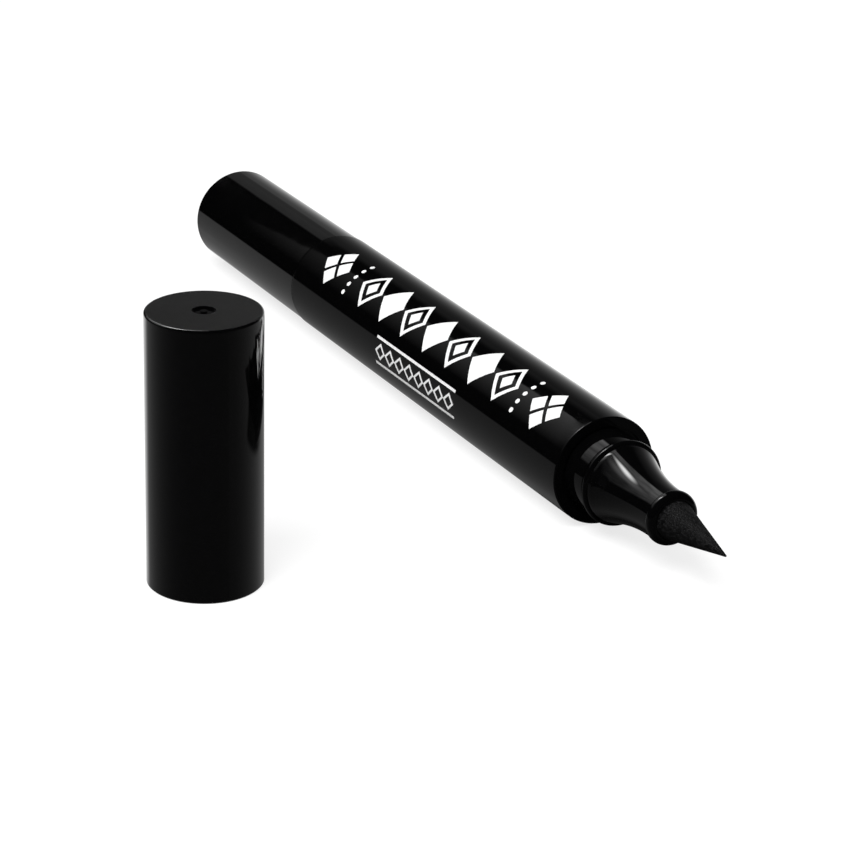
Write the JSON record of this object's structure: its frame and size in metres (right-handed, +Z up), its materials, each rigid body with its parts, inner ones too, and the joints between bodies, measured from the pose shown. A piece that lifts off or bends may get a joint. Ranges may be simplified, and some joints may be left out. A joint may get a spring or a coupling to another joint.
{
  "type": "liquid eyeliner pen",
  "caption": "Double-ended cosmetic pen lying on its side: felt liner nib in a moulded nose, stamp end under its pull-off cap, and the liner cap stood on its mouth beside it.",
  "frame": {"origin": "middle of the whole group's box, on the surface that the pen lies on and the cap stands on", "axes": "+X along the pen towards the felt nib, +Z up from the surface, +Y from the standing cap towards the pen"},
  "size_m": [0.1266, 0.06, 0.0312],
  "materials": {
    "barrel_gloss": "gloss black, polished mould",
    "cap_gloss": "gloss black sides, satin closed end",
    "nose_gloss": "gloss black",
    "stamp_head_gloss": "gloss black",
    "nib_felt": "ink-soaked bonded fibre, matt",
    "wick_fibre": "ink-soaked bonded fibre, matt",
    "stamp_rubber": "fine porous rubber, matt",
    "reservoir_fibre": "ink-soaked fibre rod",
    "reservoir_film": "clear film",
    "divider_plastic": "natural plastic",
    "inner_cap_plastic": "natural milky plastic"
  },
  "bodies": {
    "pen": {"barrel": "barrel_gloss", "barrel_divider": "divider_plastic", "liner_nose": "nose_gloss", "liner_nib": "nib_felt", "liner_reservoir": "reservoir_fibre", "liner_reservoir_film": "reservoir_film", "stamp_nose": "nose_gloss", "stamp_head": "stamp_head_gloss", "stamp_pad": "stamp_rubber", "stamp_wick": "wick_fibre", "stamp_reservoir": "reservoir_fibre", "stamp_reservoir_film": "reservoir_film"},
    "front_cap": {"front_cap_shell": "cap_gloss", "front_cap_inner": "inner_cap_plastic"},
    "rear_cap": {"rear_cap_shell": "cap_gloss", "rear_cap_inner": "inner_cap_plastic"}
  },
  "joints": [
    {"name": "rear_cap_pull", "type": "slide", "parent": "pen", "child": "rear_cap", "axis": [-1, 0, 0], "range_m": [0, 0.045]},
    {"name": "front_cap_lift", "type": "slide", "parent": "pen", "child": "front_cap", "axis": [0, 0, 1], "range_m": [0, 0.06]}
  ]
}
